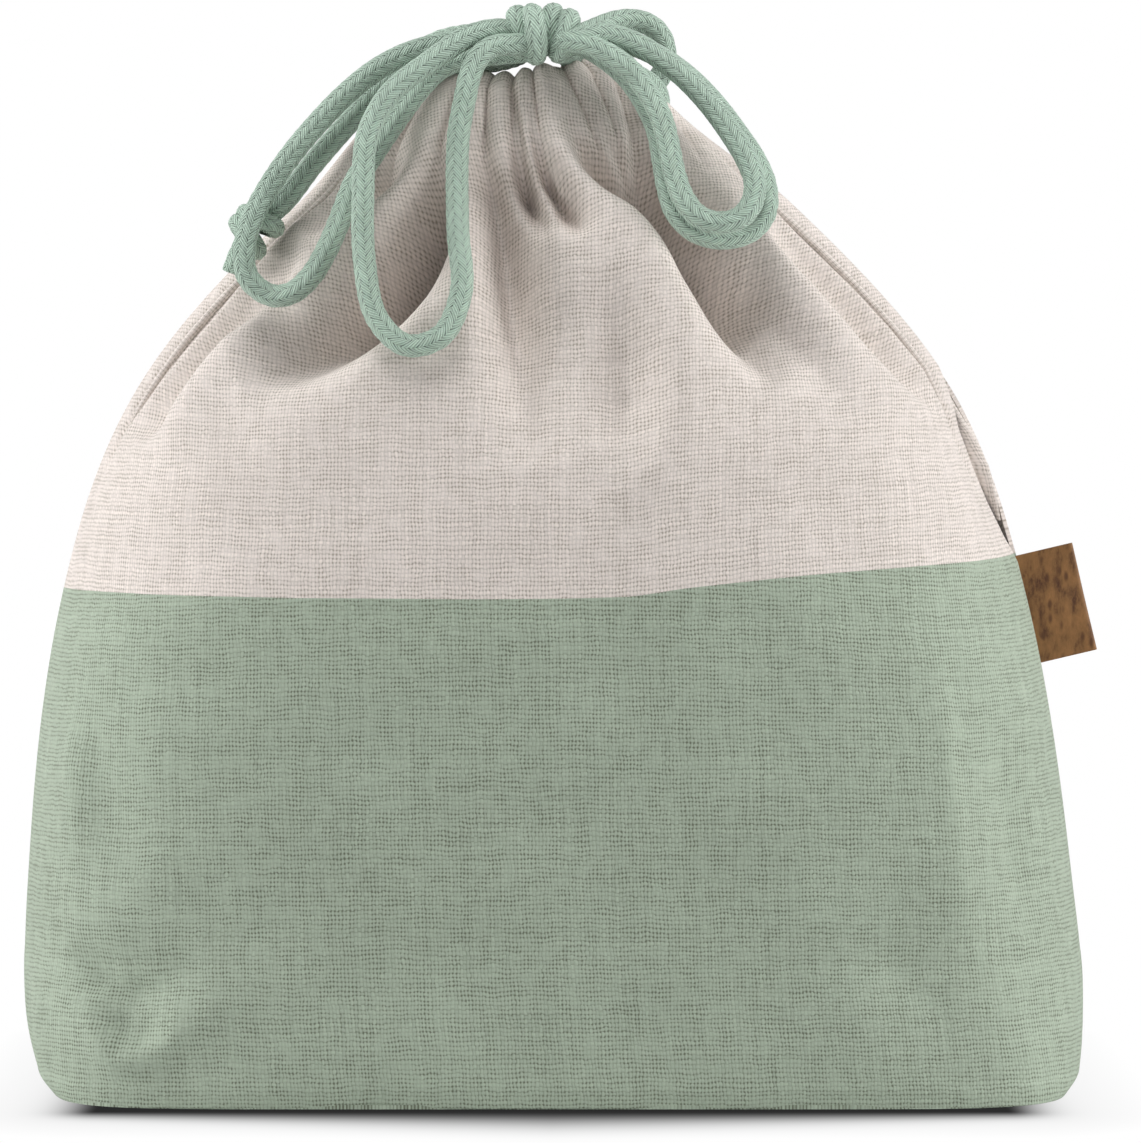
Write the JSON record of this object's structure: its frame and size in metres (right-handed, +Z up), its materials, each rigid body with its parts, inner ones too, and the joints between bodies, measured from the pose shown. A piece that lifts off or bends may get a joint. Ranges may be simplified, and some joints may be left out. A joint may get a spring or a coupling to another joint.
{
  "type": "drawstring bento bag",
  "caption": "Soft two-tone woven drawstring lunch bag with a boxed base, a gathered mouth tied in a braided cord bow and a folded side label.",
  "frame": {"origin": "middle of the underside of the base, on the surface that the bag stands on", "axes": "+Z up, front of the bag towards -Y, +X to the right seen from the front"},
  "size_m": [0.2398, 0.1118, 0.2393],
  "materials": {
    "sage_cloth": "matte plain weave",
    "natural_cloth": "matte plain weave",
    "green_cord": "braided",
    "cork_brown": "satin"
  },
  "bodies": {
    "bag": {"base_panel": "sage_cloth", "front_lower_panel": "sage_cloth", "back_lower_panel": "sage_cloth", "front_upper_panel": "natural_cloth", "back_upper_panel": "natural_cloth", "left_front_slit_hem": "natural_cloth", "right_front_slit_hem": "natural_cloth", "left_back_slit_hem": "natural_cloth", "right_back_slit_hem": "natural_cloth", "front_casing": "natural_cloth", "back_casing": "natural_cloth", "left_drawcord": "green_cord", "right_drawcord": "green_cord"},
    "bow": {"bow_knot": "green_cord"},
    "left_loop": {"left_bow_loop": "green_cord"},
    "left_tail": {"left_tail_loop": "green_cord", "left_tail_strand": "green_cord", "left_end_knot": "green_cord"},
    "right_loops": {"right_front_loop": "green_cord", "right_back_loop": "green_cord"},
    "label": {"side_label": "cork_brown"}
  },
  "joints": [
    {"name": "bow_lift", "type": "slide", "parent": "bag", "child": "bow", "axis": [0, 0, 1], "range_m": [0, 0.012]},
    {"name": "left_loop_lift", "type": "hinge", "parent": "bow", "child": "left_loop", "pos_m": [-0.01009, -0.0265, 0.2271], "axis": [-1, 0, 0], "range_deg": [0, 85]},
    {"name": "left_tail_lift", "type": "hinge", "parent": "bow", "child": "left_tail", "pos_m": [-0.01285, -0.0165, 0.2292], "axis": [0, 1, 0], "range_deg": [0, 40]},
    {"name": "right_loops_lift", "type": "hinge", "parent": "bow", "child": "right_loops", "pos_m": [0.00669, -0.0245, 0.2285], "axis": [-1, 0, 0], "range_deg": [0, 80]},
    {"name": "label_fold", "type": "hinge", "parent": "bag", "child": "label", "pos_m": [0.10972, 0, 0.09212], "axis": [-0.2297, 0, 0.9733], "range_deg": [-70, 70], "stiffness_Nm_per_rad": 0.0006}
  ]
}
